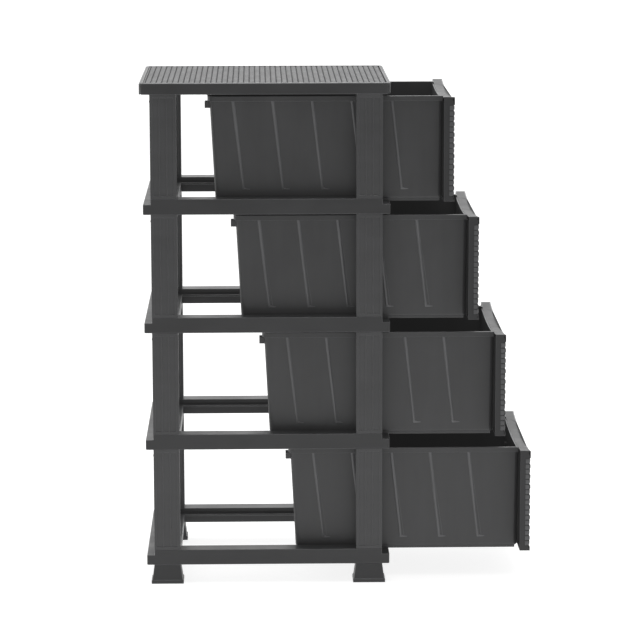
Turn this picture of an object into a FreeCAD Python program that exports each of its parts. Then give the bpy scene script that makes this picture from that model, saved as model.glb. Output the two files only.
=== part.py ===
import FreeCAD, Part
import math
import os

import Sketcher

# A floor-standing storage tower: four deep plastic drawers in an open frame of
# shelf frames and corner posts, with a woven top and woven drawer fronts.
# Millimetres, +Z up, front towards -Y, left is -X as seen from the front.
# The origin is on the floor under the middle of the whole tower, with the four
# drawers pulled out in steps as they stand at rest.

SIZES = [
    # Frame of shelf frames and posts
    ("frame_width", 310.0, "outside, left to right"),
    ("frame_depth", 395.5, "shelf frame, front to rear"),
    ("tier_pitch", 192.0, "from one shelf frame to the next"),
    ("rail_height", 25.0, "side band of a shelf frame"),
    ("rail_width", 29.0, "side rail, outer to inner face"),
    ("flange_height", 16.3, "front and rear cross rails"),
    ("flange_reach", 12.35, "cross rail beyond the posts"),
    ("frame_wall", 2.5, "moulded wall of frames and top"),
    ("ledge_width", 10.0, "runner ledge inside a side rail"),
    ("ledge_thickness", 3.0, "runner ledge"),
    ("frame_corner", 3.0, "plan radius of a shelf frame"),
    # Posts
    ("post_width", 42.0, "front to rear"),
    ("post_depth", 28.0, "left to right"),
    ("post_wall", 2.4, "around the bore"),
    ("post_border", 4.5, "plain edge beside the flutes"),
    ("post_collar", 5.0, "plain end above and below the flutes"),
    ("flute_depth", 1.2, "sunk face between ridges"),
    ("ridge_width", 1.8, "between two flutes"),
    ("tenon_width", 33.0, "front to rear"),
    ("tenon_depth", 19.0, "left to right"),
    ("tenon_length", 10.7, "plug at each end of a post"),
    ("nub_width", 6.0, "snap nub at a post's rear face"),
    ("nub_height", 3.0, "snap nub at a post's rear face"),
    ("nub_reach", 1.0, "snap nub proud of the post"),
    ("nub_drop", 12.0, "post top to snap nub"),
    ("socket_gap", 0.15, "clearance around a tenon"),
    ("socket_end_gap", 0.3, "clearance past a tenon's end"),
    # Feet
    ("foot_height", 31.0, "floor to lowest shelf frame"),
    ("foot_top_width", 43.0, "front to rear"),
    ("foot_top_depth", 27.6, "left to right"),
    ("foot_bottom_width", 52.5, "front to rear"),
    ("foot_bottom_depth", 36.0, "left to right"),
    ("foot_lip", 6.0, "upright lip at the floor"),
    ("lip_reach", 1.4, "lip beyond the flare"),
    # Top
    ("top_height", 18.4, "skirt and plate together"),
    ("top_plate", 3.2, "woven plate"),
    ("top_overhang", 4.5, "past the shelf frames at the rear"),
    ("top_corner", 9.0, "plan radius"),
    ("top_border", 6.0, "plain edge around the weave"),
    ("top_rib_width", 2.0, "stiffening ribs under the plate"),
    ("top_rib_height", 9.0, "stiffening ribs under the plate"),
    ("top_rib_pitch", 70.0, "stiffening ribs under the plate"),
    ("strand_pitch", 8.7, "one woven strand to the next"),
    ("strand_gap", 1.4, "furrow between two strands"),
    ("furrow_depth", 1.0, "furrow between two strands"),
    # Drawer bins
    ("bin_rear_gap", 6.75, "closed rim to the rear of the shelf frame"),
    ("bin_wall", 2.2, "moulded wall"),
    ("rim_side_gap", 2.5, "rim to post"),
    ("rim_overhang", 3.0, "rim beyond the wall"),
    ("rim_height", 8.0, "rim skirt"),
    ("rim_front_corner", 1.0, "plan radius of the rim at the front"),
    ("head_gap", 5.0, "front to the shelf frame above"),
    ("rim_drop", 1.0, "rim below the corners of the front"),
    ("rim_land", 0.4, "rim skirt left under the scoop at mid width"),
    ("runner_gap", 0.3, "skid to ledge"),
    ("skid_height", 3.0, "runner under the floor"),
    ("skid_width", 5.0, "runner under the floor"),
    ("side_draft", 1.5, "side wall, top to bottom"),
    ("rear_draft", 8.8, "rear wall, top to bottom"),
    ("front_draft", 1.0, "front wall, top to bottom"),
    ("bin_corner", 9.0, "upright corner radius at the rear"),
    ("bin_front_corner", 6.5, "upright corner radius at the front"),
    ("bin_bottom_edge", 4.0, "lower edge radius"),
    ("rib_first", 82.0, "bin front to first side rib at its top"),
    ("rib_pitch", 63.5, "side rib to side rib"),
    ("rib_lean", 16.0, "side rib, top to foot"),
    ("rib_width", 3.0, "side rib"),
    ("rib_height", 1.0, "side rib"),
    ("rib_foot", 16.0, "floor to the foot of a side rib"),
    ("tab_reach", 4.5, "rear tab beyond the rim"),
    ("tab_height", 10.0, "rear tab"),
    ("tab_width", 22.0, "rear tab"),
    ("tab_inset", 8.0, "side wall to rear tab"),
    ("tab_drop", 9.4, "rim to the top of a rear tab"),
    ("heel_depth", 4.0, "stop heel below a skid"),
    ("heel_length", 12.0, "stop heel, front to rear"),
    ("heel_gap", 6.0, "closed stop heel to the rear cross rail"),
    # Drawer fronts
    ("front_thickness", 15.0, "without the raised weave"),
    ("front_wall", 2.5, "skin and returns"),
    ("front_gap", 0.6, "closed front to posts"),
    ("weave_relief", 1.8, "border and strands above the field"),
    ("front_border", 6.0, "raised edge above and below the weave"),
    ("row_pitch", 8.55, "one woven row of a front to the next"),
    ("first_row", 17.9, "lower edge to the lowest raised row"),
    ("scoop", 8.5, "dip of the top edge at mid width"),
    ("hook_width", 14.0, "front hook"),
    ("hook_thickness", 4.0, "front hook"),
    ("hook_catch", 4.0, "drop of the hook behind the wall"),
    ("hook_gap", 0.3, "clearance around a hook"),
    ("hook_spread", 160.0, "left hook to right hook"),
    ("hook_low", 45.0, "bin floor to the lower hooks"),
    ("hook_rise", 80.0, "lower hooks to upper hooks"),
    # How far the drawers stand open at rest
    ("open_1", 97.0, "top drawer"),
    ("open_2", 137.5, "second drawer"),
    ("open_3", 182.5, "third drawer"),
    ("open_4", 224.5, "lowest drawer"),
]
TIERS = 4

doc = FreeCAD.newDocument("storage_tower")
sheet = doc.addObject("Spreadsheet::Sheet", "sizes")
for row, (alias, value, meaning) in enumerate(SIZES, start=1):
    sheet.set(f"A{row}", alias)
    sheet.set(f"B{row}", str(value))
    sheet.set(f"C{row}", meaning)
    sheet.setAlias(f"B{row}", alias)
doc.recompute()

# Places and lengths that several pieces share, as expressions of the sizes
HALF_WIDTH = "sizes.frame_width / 2"
HALF_DEPTH = "sizes.frame_depth / 2"
POST_OUTER_Y = f"({HALF_DEPTH} - sizes.flange_reach)"
POST_INNER_Y = f"({POST_OUTER_Y} - sizes.post_width)"
POST_X = "(sizes.frame_width / 2 - sizes.post_depth / 2)"
POST_Y = f"({POST_OUTER_Y} - sizes.post_width / 2)"
POST_LENGTH = "(sizes.tier_pitch - sizes.rail_height)"
RAIL_INNER_X = "(sizes.frame_width / 2 - sizes.rail_width)"
POST_INNER_X = "(sizes.frame_width / 2 - sizes.post_depth)"
SOCKET_WIDTH = "(sizes.tenon_width + 2 * sizes.socket_gap)"
SOCKET_DEPTH = "(sizes.tenon_depth + 2 * sizes.socket_gap)"
SOCKET_LENGTH = "(sizes.tenon_length + sizes.socket_end_gap)"
HOOK_LEVELS = ("sizes.hook_low", "(sizes.hook_low + sizes.hook_rise)")
BIN_LIFT = "(sizes.flange_height + sizes.runner_gap + sizes.skid_height)"
DRAWER_HEIGHT = f"(sizes.tier_pitch - {BIN_LIFT} - sizes.head_gap)"
BIN_HEIGHT = f"({DRAWER_HEIGHT} - sizes.rim_drop)"
RIM_HALF = f"({POST_INNER_X} - sizes.rim_side_gap)"
WALL_HALF = f"({RIM_HALF} - sizes.rim_overhang)"
MOUTH_HALF = f"({WALL_HALF} - sizes.bin_wall)"
FLOOR_HALF = f"({WALL_HALF} - sizes.side_draft)"
CLOSED_Y = f"({POST_OUTER_Y} + sizes.front_gap)"
BIN_LENGTH = f"({CLOSED_Y} + {HALF_DEPTH} - sizes.bin_rear_gap)"
WALL_REAR = f"({BIN_LENGTH} - sizes.rim_overhang)"
FLOOR_REAR = f"({WALL_REAR} - sizes.rear_draft)"
FRONT_OVERALL = "(sizes.front_thickness + sizes.weave_relief)"
REACH_FRONT = f"({CLOSED_Y} + {FRONT_OVERALL} + sizes.open_{TIERS})"
REACH_REAR = f"({HALF_DEPTH} + sizes.top_overhang)"
FRAME_Y = f"(({REACH_FRONT} - {REACH_REAR}) / 2)"


def amount(expression):
    """The value of an expression of the sizes."""
    return float(sheet.evalExpression(expression.replace("sizes.", "")))


def set_expressions(thing, **expressions):
    for path, expression in expressions.items():
        thing.setExpression(path.replace("__", "."), expression)


def new_body(label, x="0", y="0", z="0"):
    """A body for one piece, put in its place by the sizes."""
    body = doc.addObject("PartDesign::Body", label)
    body.Label = label
    set_expressions(body, Placement__Base__x=x, Placement__Base__y=y, Placement__Base__z=z)
    return body


def new_sketch(body, name, plane="XY_Plane", height="0"):
    """A sketch on one of the body's own origin planes, moved along its normal."""
    sketch = body.newObject("Sketcher::SketchObject", name)
    origin = next(f for f in body.Origin.OriginFeatures if f.Role == plane)
    sketch.AttachmentSupport = [(origin, "")]
    sketch.MapMode = "FlatFace"
    if height != "0":
        sketch.setExpression("AttachmentOffset.Base.z", height)
    return sketch


def hold(sketch, line, end, kind, expression):
    """Holds one end of a line at a distance from the sketch's origin, DistanceX or DistanceY."""
    value = amount(expression)
    if value == 0:
        axis = -2 if kind == "DistanceX" else -1
        sketch.addConstraint(Sketcher.Constraint("PointOnObject", line, end, axis))
    elif value > 0:
        index = sketch.addConstraint(Sketcher.Constraint(kind, -1, 1, line, end, value))
        sketch.setExpression(f"Constraints[{index}]", expression)
    else:
        index = sketch.addConstraint(Sketcher.Constraint(kind, line, end, -1, 1, -value))
        sketch.setExpression(f"Constraints[{index}]", f"-({expression})")


def tie_point(sketch, line, end, across, up):
    """Holds one end of a line at two expressions, measured from the sketch's origin."""
    hold(sketch, line, end, "DistanceX", across)
    hold(sketch, line, end, "DistanceY", up)


def add_outline(sketch, points):
    """A closed outline of straight lines, each corner held at its two expressions."""
    places = [FreeCAD.Vector(amount(across), amount(up), 0) for across, up in points]
    first = sketch.GeometryCount
    for place, following in zip(places, places[1:] + places[:1]):
        sketch.addGeometry(Part.LineSegment(place, following))
    for index in range(len(points)):
        following = first + (index + 1) % len(points)
        sketch.addConstraint(Sketcher.Constraint("Coincident", first + index, 2, following, 1))
    for index, (across, up) in enumerate(points):
        tie_point(sketch, first + index, 1, across, up)


def add_rectangle(sketch, left, right, low, high):
    add_outline(sketch, [(left, low), (right, low), (right, high), (left, high)])


def add_rounded(sketch, left, right, low, high, low_radius, high_radius):
    """A rectangle with arcs at its corners, of one radius at each end."""
    west, east, south, north = (amount(e) for e in (left, right, low, high))
    near, far = amount(low_radius), amount(high_radius)
    lines = [
        ((west + near, south), (east - near, south)),
        ((east, south + near), (east, north - far)),
        ((east - far, north), (west + far, north)),
        ((west, north - far), (west, south + near)),
    ]
    corners = [
        (east - near, south + near, low_radius),
        (east - far, north - far, high_radius),
        (west + far, north - far, high_radius),
        (west + near, south + near, low_radius),
    ]
    first = sketch.GeometryCount
    for start, end in lines:
        sketch.addGeometry(Part.LineSegment(FreeCAD.Vector(*start, 0), FreeCAD.Vector(*end, 0)))
    for quarter, (across, up, radius) in enumerate(corners):
        centre = FreeCAD.Vector(across, up, 0)
        circle = Part.Circle(centre, FreeCAD.Vector(0, 0, 1), amount(radius))
        begin = (quarter - 1) * math.pi / 2
        sketch.addGeometry(Part.ArcOfCircle(circle, begin, begin + math.pi / 2))
    for quarter in range(len(lines)):
        line, arc = first + quarter, first + len(lines) + quarter
        following = first + (quarter + 1) % len(lines)
        sketch.addConstraint(Sketcher.Constraint("Tangent", line, 2, arc, 1))
        sketch.addConstraint(Sketcher.Constraint("Tangent", arc, 2, following, 1))
        radius = corners[quarter][-1]
        index = sketch.addConstraint(Sketcher.Constraint("Radius", arc, amount(radius)))
        sketch.setExpression(f"Constraints[{index}]", radius)
        level = "Horizontal" if quarter % 2 == 0 else "Vertical"
        sketch.addConstraint(Sketcher.Constraint(level, line))
    for line, kind, expression in (
        (first, "DistanceY", low),
        (first + 1, "DistanceX", right),
        (first + 2, "DistanceY", high),
        (first + 3, "DistanceX", left),
    ):
        hold(sketch, line, 1, kind, expression)


def add_centred(sketch, across, up, width, height):
    """A rectangle about a centre."""
    add_rectangle(
        sketch,
        f"{across} - ({width}) / 2",
        f"{across} + ({width}) / 2",
        f"{up} - ({height}) / 2",
        f"{up} + ({height}) / 2",
    )


def add_sagging(sketch, half, level, far, sag):
    """A rectangle about mid width between two levels, whose side at the first one sags."""
    w, near, other = amount(half), amount(level), amount(far)
    corners = [(-w, near), (-w, other), (w, other), (w, near)]
    points = [FreeCAD.Vector(across, up, 0) for across, up in corners]
    for start, end in zip(points, points[1:]):
        sketch.addGeometry(Part.LineSegment(start, end))
    sketch.addConstraint(Sketcher.Constraint("Coincident", 0, 2, 1, 1))
    sketch.addConstraint(Sketcher.Constraint("Coincident", 1, 2, 2, 1))
    tie_point(sketch, 0, 1, f"-{half}", level)
    tie_point(sketch, 1, 1, f"-{half}", far)
    tie_point(sketch, 2, 1, half, far)
    tie_point(sketch, 2, 2, half, level)
    arc = sketch.addGeometry(Part.Arc(points[3], FreeCAD.Vector(0, near - amount(sag), 0), points[0]))
    left_end, right_end = (1, 2) if sketch.getPoint(arc, 1).x < 0 else (2, 1)
    sketch.addConstraint(Sketcher.Constraint("Coincident", arc, left_end, 0, 1))
    sketch.addConstraint(Sketcher.Constraint("Coincident", arc, right_end, 2, 2))
    radius = f"(({half} * {half} + {sag} * {sag}) / (2 * {sag}))"
    index = sketch.addConstraint(Sketcher.Constraint("Radius", arc, amount(radius)))
    sketch.setExpression(f"Constraints[{index}]", radius)


def pad(body, name, sketch, length, reverse=False, both=False):
    feature = body.newObject("PartDesign::Pad", name)
    feature.Profile = sketch
    feature.setExpression("Length", length)
    feature.Reversed = reverse
    feature.Midplane = both
    body.Tip = feature
    return feature


def pocket(body, name, sketch, length, reverse=False):
    feature = body.newObject("PartDesign::Pocket", name)
    feature.Profile = sketch
    feature.setExpression("Length", length)
    feature.Reversed = reverse
    body.Tip = feature
    return feature


def row(body, name, feature, axis_role, pitch, count, reverse=False):
    """Copies of a feature in a row, a pitch apart."""
    pattern = body.newObject("PartDesign::LinearPattern", name)
    pattern.Originals = [feature]
    axis = next(f for f in body.Origin.OriginFeatures if f.Role == axis_role)
    pattern.Direction = (axis, [""])
    pattern.Reversed = reverse
    pattern.setExpression("Occurrences", count)
    pattern.setExpression("Length", f"{pitch} * ({count} - 1)")
    body.Tip = pattern
    return pattern


def round_edges(body, name, feature, chosen, radius):
    """Rounds the edges of the body's last feature for which chosen is true."""
    doc.recompute()
    edges = [
        f"Edge{index}"
        for index, edge in enumerate(feature.Shape.Edges, start=1)
        if chosen([vertex.Point for vertex in edge.Vertexes])
    ]
    fillet = body.newObject("PartDesign::Fillet", name)
    fillet.Base = (feature, edges)
    fillet.setExpression("Radius", radius)
    body.Tip = fillet
    return fillet


def is_upright(ends):
    """An edge that mostly climbs, told by its two ends."""
    return abs(ends[0].z - ends[-1].z) > (ends[0] - ends[-1]).Length / 2


def four_corners(expression_x, expression_y):
    for side in ("-", ""):
        for end in ("-", ""):
            yield f"{side}{expression_x}", f"{end}{expression_y}"


def add_sockets(body, name, height, upward):
    """Four sockets for post or foot tenons, cut upward or downward from a height."""
    sketch = new_sketch(body, f"{name}_outline", height=height)
    for across, along in four_corners(POST_X, POST_Y):
        add_centred(sketch, across, along, SOCKET_DEPTH, SOCKET_WIDTH)
    return pocket(body, name, sketch, SOCKET_LENGTH, reverse=upward)


def make_shelf_frame(tier, height):
    """An open frame with hollow rails, runner ledges and sockets above and below."""
    body = new_body(f"shelf_frame_{tier}", y=FRAME_Y, z=height)
    outline = new_sketch(body, "frame_outline")
    add_rectangle(outline, f"-{HALF_WIDTH}", HALF_WIDTH, f"-{HALF_DEPTH}", HALF_DEPTH)
    add_rectangle(outline, f"-{RAIL_INNER_X}", RAIL_INNER_X, f"-{POST_INNER_Y}", POST_INNER_Y)
    base = pad(body, "frame", outline, "sizes.flange_height")
    half_width = amount(HALF_WIDTH)
    round_edges(
        body,
        "rounded_corners",
        base,
        lambda ends: is_upright(ends) and abs(ends[0].x) > half_width - amount("sizes.frame_wall"),
        "sizes.frame_corner",
    )

    bands = new_sketch(body, "side_band_outline", height="sizes.flange_height")
    for left, right in ((f"-{HALF_WIDTH}", f"-{RAIL_INNER_X}"), (RAIL_INNER_X, HALF_WIDTH)):
        add_rectangle(bands, left, right, f"-{POST_OUTER_Y}", POST_OUTER_Y)
    pad(body, "side_bands", bands, "sizes.rail_height - sizes.flange_height")

    ledges = new_sketch(body, "ledge_outline", height="sizes.flange_height")
    ledge_inner = f"({RAIL_INNER_X} - sizes.ledge_width)"
    overlap = "sizes.frame_wall"
    reach = f"{POST_INNER_Y} + {overlap}"
    for side in ("-", ""):
        near, far = f"{side}{ledge_inner}", f"{side}({RAIL_INNER_X} + {overlap})"
        left, right = (far, near) if side else (near, far)
        add_rectangle(ledges, left, right, f"-({reach})", reach)
    pad(body, "runner_ledges", ledges, "sizes.ledge_thickness", reverse=True)

    sides = new_sketch(body, "side_channel_outline")
    inner = f"{RAIL_INNER_X} + sizes.frame_wall"
    outer = f"{HALF_WIDTH} - sizes.frame_wall"
    for left, right in ((f"-({outer})", f"-({inner})"), (inner, outer)):
        add_rectangle(sides, left, right, f"-{POST_INNER_Y}", POST_INNER_Y)
    pocket(body, "side_channels", sides, "sizes.rail_height - sizes.frame_wall", reverse=True)

    crosses = new_sketch(body, "cross_channel_outline")
    inner = f"{POST_INNER_Y} + sizes.frame_wall"
    outer = f"{HALF_DEPTH} - sizes.frame_wall"
    for low, high in ((f"-({outer})", f"-({inner})"), (inner, outer)):
        add_rectangle(crosses, f"-{POST_INNER_X}", POST_INNER_X, low, high)
    pocket(body, "cross_channels", crosses, "sizes.flange_height - sizes.frame_wall", reverse=True)

    add_sockets(body, "upper_sockets", "sizes.rail_height", upward=False)
    add_sockets(body, "lower_sockets", "0", upward=True)
    return body


def add_flutes(body):
    """Sunk strips along the shaft: three on each side face, two on the front and rear faces."""
    sketch = new_sketch(body, "flute_section", height="sizes.post_collar")
    half_w, half_d = "sizes.post_width / 2", "sizes.post_depth / 2"
    sunk_w = "(sizes.post_width - 2 * sizes.post_border - 2 * sizes.ridge_width) / 3"
    sunk_d = "(sizes.post_depth - 2 * sizes.post_border - sizes.ridge_width) / 2"
    for strip in range(3):
        low = f"-{half_w} + sizes.post_border + {strip} * ({sunk_w} + sizes.ridge_width)"
        near, far = f"{half_d} - sizes.flute_depth", f"{half_d} + sizes.flute_depth"
        add_rectangle(sketch, near, far, low, f"{low} + {sunk_w}")
    for strip in range(2):
        left = f"-{half_d} + sizes.post_border + {strip} * ({sunk_d} + sizes.ridge_width)"
        near, far = f"{half_w} - sizes.flute_depth", f"{half_w} + sizes.flute_depth"
        add_rectangle(sketch, left, f"{left} + {sunk_d}", near, far)
    length = f"{POST_LENGTH} - 2 * sizes.post_collar"
    flutes = pocket(body, "flutes", sketch, length, reverse=True)
    turned = body.newObject("PartDesign::PolarPattern", "flutes_all_round")
    turned.Originals = [flutes]
    axis = next(f for f in body.Origin.OriginFeatures if f.Role == "Z_Axis")
    turned.Axis = (axis, [""])
    turned.Occurrences = 2
    body.Tip = turned


def make_post(label, x, y, height):
    """A hollow fluted post with a tenon at each end and a snap nub behind."""
    body = new_body(label, x=x, y=y, z=height)
    bore = [f"sizes.tenon_{side} - 2 * sizes.post_wall" for side in ("depth", "width")]
    core = new_sketch(body, "core_section", height="-sizes.tenon_length")
    add_centred(core, "0", "0", "sizes.tenon_depth", "sizes.tenon_width")
    add_centred(core, "0", "0", *bore)
    pad(body, "tenons", core, f"{POST_LENGTH} + 2 * sizes.tenon_length")
    section = new_sketch(body, "section")
    add_centred(section, "0", "0", "sizes.post_depth", "sizes.post_width")
    add_centred(section, "0", "0", *bore)
    pad(body, "shaft", section, POST_LENGTH)
    nub = new_sketch(body, "nub_outline", "XZ_Plane", "-sizes.post_width / 2")
    add_centred(nub, "0", f"({POST_LENGTH} - sizes.nub_drop)", "sizes.nub_width", "sizes.nub_height")
    pad(body, "snap_nub", nub, "sizes.nub_reach", reverse=True)
    add_flutes(body)
    return body


def make_foot(label, x, y):
    """A flared foot with an upright lip and a tenon."""
    body = new_body(label, x=x, y=y)
    lip = new_sketch(body, "lip_section")
    add_centred(lip, "0", "0", "sizes.foot_bottom_depth", "sizes.foot_bottom_width")
    pad(body, "lip", lip, "sizes.foot_lip")
    low = new_sketch(body, "flare_low", height="sizes.foot_lip")
    add_centred(
        low,
        "0",
        "0",
        "(sizes.foot_bottom_depth - 2 * sizes.lip_reach)",
        "(sizes.foot_bottom_width - 2 * sizes.lip_reach)",
    )
    high = new_sketch(body, "flare_high", height="sizes.foot_height")
    add_centred(high, "0", "0", "sizes.foot_top_depth", "sizes.foot_top_width")
    flare = body.newObject("PartDesign::AdditiveLoft", "flare")
    flare.Profile = low
    flare.Sections = [high]
    flare.Ruled = True
    body.Tip = flare
    tenon = new_sketch(body, "tenon_section", height="sizes.foot_height")
    add_centred(tenon, "0", "0", "sizes.tenon_depth", "sizes.tenon_width")
    pad(body, "tenon", tenon, "sizes.tenon_length")
    return body


def make_top_panel():
    """A shallow tray upside down: woven plate, skirt, ribs and post sockets."""
    height = f"sizes.foot_height + {TIERS} * sizes.tier_pitch"
    body = new_body("top_panel", y=FRAME_Y, z=height)
    rear = REACH_REAR
    under_plate = "(sizes.top_height - sizes.top_plate)"
    outline = new_sketch(body, "top_outline")
    add_rectangle(outline, f"-{HALF_WIDTH}", HALF_WIDTH, f"-{HALF_DEPTH}", rear)
    block = pad(body, "top", outline, "sizes.top_height")
    round_edges(body, "rounded_corners", block, is_upright, "sizes.top_corner")

    hollow = new_sketch(body, "hollow_outline")
    side, front = f"({HALF_WIDTH} - sizes.frame_wall)", f"({HALF_DEPTH} - sizes.frame_wall)"
    back = f"({rear} - sizes.frame_wall)"
    add_rectangle(hollow, f"-{side}", side, f"-{front}", back)
    pocket(body, "hollow", hollow, under_plate, reverse=True)

    blocks = new_sketch(body, "socket_block_outline")
    for across, along in four_corners(POST_X, POST_Y):
        add_centred(blocks, across, along, "sizes.post_depth - sizes.frame_wall", "sizes.post_width")
    pad(body, "socket_blocks", blocks, under_plate)
    add_sockets(body, "sockets", "0", upward=True)

    ribs = (
        ("cross_ribs", "Y_Axis", f"floor(2 * {POST_INNER_Y} / sizes.top_rib_pitch) + 1"),
        ("long_ribs", "X_Axis", f"floor(2 * {POST_INNER_X} / sizes.top_rib_pitch) + 1"),
    )
    for name, axis, count in ribs:
        sketch = new_sketch(body, f"{name}_outline", height=under_plate)
        start = f"(({count} - 1) * sizes.top_rib_pitch / 2)"
        low, high = f"-{start} - sizes.top_rib_width / 2", f"-{start} + sizes.top_rib_width / 2"
        if axis == "Y_Axis":
            reach = f"({HALF_WIDTH} - sizes.frame_wall / 2)"
            add_rectangle(sketch, f"-{reach}", reach, low, high)
        else:
            reach = f"({HALF_DEPTH} - sizes.frame_wall / 2)"
            add_rectangle(sketch, low, high, f"-{reach}", reach)
        rib = pad(body, name, sketch, "sizes.top_rib_height", reverse=True)
        row(body, f"{name}_row", rib, axis, "sizes.top_rib_pitch", count)

    field = new_sketch(body, "field_outline", height="sizes.top_height")
    reach = f"({HALF_WIDTH} - sizes.top_border)"
    low, high = f"(-{HALF_DEPTH} + sizes.top_border)", f"({rear} - sizes.top_border)"
    add_rectangle(field, f"-{reach}", reach, low, high)
    pocket(body, "field", field, "sizes.furrow_depth")
    first = new_sketch(body, "strand_outline", height="sizes.top_height - sizes.furrow_depth")
    end = f"({reach} - sizes.strand_gap)"
    start = f"{low} + sizes.strand_gap"
    add_rectangle(first, f"-{end}", end, start, f"{low} + sizes.strand_pitch")
    strand = pad(body, "strand", first, "sizes.furrow_depth")
    count = f"floor(({high} - {low} - sizes.strand_gap) / sizes.strand_pitch)"
    row(body, "strands", strand, "Y_Axis", "sizes.strand_pitch", count)
    return body


def lean_wall(body, name, feature, chosen, run):
    """Leans the chosen walls inward towards the floor, turning about the mouth's edge."""
    doc.recompute()
    faces = [(f"Face{i}", f.CenterOfMass) for i, f in enumerate(feature.Shape.Faces, start=1)]
    lean = body.newObject("PartDesign::Draft", name)
    lean.Base = (feature, [label for label, centre in faces if chosen(centre)])
    highest = max(centre.z for label, centre in faces)
    lean.NeutralPlane = (feature, [label for label, centre in faces if centre.z == highest])
    lean.Reversed = True
    lean.setExpression("Angle", f"atan({run} / {BIN_HEIGHT})")
    body.Tip = lean
    return lean


def make_drawer_bin(tier, y, z):
    """A tapering open bin with a dipped rim, side ribs, rear tabs, skids and stop heels."""
    body = new_body(f"drawer_bin_{tier}", y=y, z=z)
    outline = new_sketch(body, "wall_outline")
    add_rectangle(outline, f"-{WALL_HALF}", WALL_HALF, "sizes.hook_gap", WALL_REAR)
    block = pad(body, "block", outline, BIN_HEIGHT)
    edge = amount("sizes.bin_bottom_edge")
    side, rear = amount(WALL_HALF) - edge, amount(WALL_REAR) - edge
    block = lean_wall(body, "side_lean", block, lambda c: abs(c.x) > side, "sizes.side_draft")
    block = lean_wall(body, "rear_lean", block, lambda c: c.y > rear, "sizes.rear_draft")
    block = lean_wall(body, "front_lean", block, lambda c: c.y < edge, "sizes.front_draft")
    for end, sign, radius in (
        ("rear", 1, "sizes.bin_corner"),
        ("front", -1, "sizes.bin_front_corner"),
    ):
        chosen = lambda ends: is_upright(ends) and sign * (ends[0].y - rear / 2) > 0
        block = round_edges(body, f"{end}_corners", block, chosen, radius)
    block = round_edges(
        body,
        "lower_edges",
        block,
        lambda ends: max(end.z for end in ends) < edge / 2,
        "sizes.bin_bottom_edge",
    )
    doc.recompute()
    mouth = amount(BIN_HEIGHT)
    open_face = next(
        f"Face{index}"
        for index, face in enumerate(block.Shape.Faces, start=1)
        if min(vertex.Point.z for vertex in face.Vertexes) > mouth - edge / 2
    )
    shell = body.newObject("PartDesign::Thickness", "shell")
    shell.Base = (block, [open_face])
    shell.Reversed = True
    shell.setExpression("Value", "sizes.bin_wall")
    body.Tip = shell

    add_rim(body)
    add_mouth_dip(body)
    add_side_ribs(body)
    add_rear_tabs(body)
    add_skids(body)
    add_hook_slots(body)
    return body


def add_rim(body):
    """A band around the mouth."""
    outline = new_sketch(body, "rim_outline", height=BIN_HEIGHT)
    near, far = "sizes.rim_front_corner", "sizes.bin_corner + sizes.rim_overhang"
    add_rounded(outline, f"-{RIM_HALF}", RIM_HALF, "sizes.hook_gap", BIN_LENGTH, near, far)
    front, rear = "sizes.hook_gap + sizes.bin_wall", f"{WALL_REAR} - sizes.bin_wall"
    near, far = (f"sizes.{size} - sizes.bin_wall" for size in ("bin_front_corner", "bin_corner"))
    add_rounded(outline, f"-{MOUTH_HALF}", MOUTH_HALF, front, rear, near, far)
    return pad(body, "rim", outline, "sizes.rim_height", reverse=True)


def add_mouth_dip(body):
    """The front of the rim cut down along the scoop of the drawer front."""
    sketch = new_sketch(body, "dip_outline", plane="XZ_Plane")
    half = f"({MOUTH_HALF} - sizes.bin_front_corner)"
    sag = f"(sizes.scoop * {half} * {half} / ({HALF_WIDTH} * {HALF_WIDTH}))"
    level = f"({BIN_HEIGHT} - sizes.rim_height + sizes.rim_land + {sag})"
    add_sagging(sketch, half, level, BIN_HEIGHT, sag)
    depth = "sizes.hook_gap + sizes.front_draft + 2 * sizes.bin_wall"
    return pocket(body, "mouth_dip", sketch, depth)


def add_side_ribs(body):
    """Slanted ribs on both side walls, each plane leaning with its wall."""
    foot, top = "sizes.rib_foot", f"({BIN_HEIGHT} - sizes.rim_height)"
    lean = f"atan(sizes.side_draft / {BIN_HEIGHT})"
    last = f"({FLOOR_REAR} - sizes.bin_corner)"
    count = f"floor(({last} - sizes.rib_first) / sizes.rib_pitch) + 1"
    for side, sign in (("left", -1), ("right", 1)):
        sketch = new_sketch(body, f"{side}_rib_outline", plane="YZ_Plane")
        prefix = "-" if sign < 0 else ""
        turn = FreeCAD.Rotation(FreeCAD.Vector(1, 0, 0), sign)
        sketch.AttachmentOffset = FreeCAD.Placement(FreeCAD.Vector(0, 0, 0), turn)
        sketch.setExpression("AttachmentOffset.Rotation.Angle", f"{prefix}1 * {lean}")
        sketch.setExpression("AttachmentOffset.Base.z", f"{prefix}({FLOOR_HALF} - sizes.bin_wall / 2)")
        start = "sizes.rib_first"
        add_outline(
            sketch,
            [
                (f"{start} - sizes.rib_lean - 2 * sizes.rib_width", foot),
                (f"{start} - sizes.rib_lean + sizes.rib_width / 2", foot),
                (f"{start} + sizes.rib_width / 2", top),
                (f"{start} - sizes.rib_width / 2", top),
            ],
        )
        rib = pad(
            body,
            f"{side}_rib",
            sketch,
            "sizes.rib_height + sizes.bin_wall / 2",
            reverse=sign < 0,
        )
        row(body, f"{side}_ribs", rib, "Y_Axis", "sizes.rib_pitch", count)


def add_rear_tabs(body):
    """Two tabs behind the rear wall, under the rim."""
    sketch = new_sketch(body, "tab_outline", height=f"{BIN_HEIGHT} - sizes.tab_drop")
    centre = f"({WALL_HALF} - sizes.tab_inset - sizes.tab_width / 2)"
    for side in ("-", ""):
        add_rectangle(
            sketch,
            f"{side}{centre} - sizes.tab_width / 2",
            f"{side}{centre} + sizes.tab_width / 2",
            f"{WALL_REAR} - sizes.bin_wall",
            f"{BIN_LENGTH} + sizes.tab_reach",
        )
    return pad(body, "rear_tabs", sketch, "sizes.tab_height", reverse=True)


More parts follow.
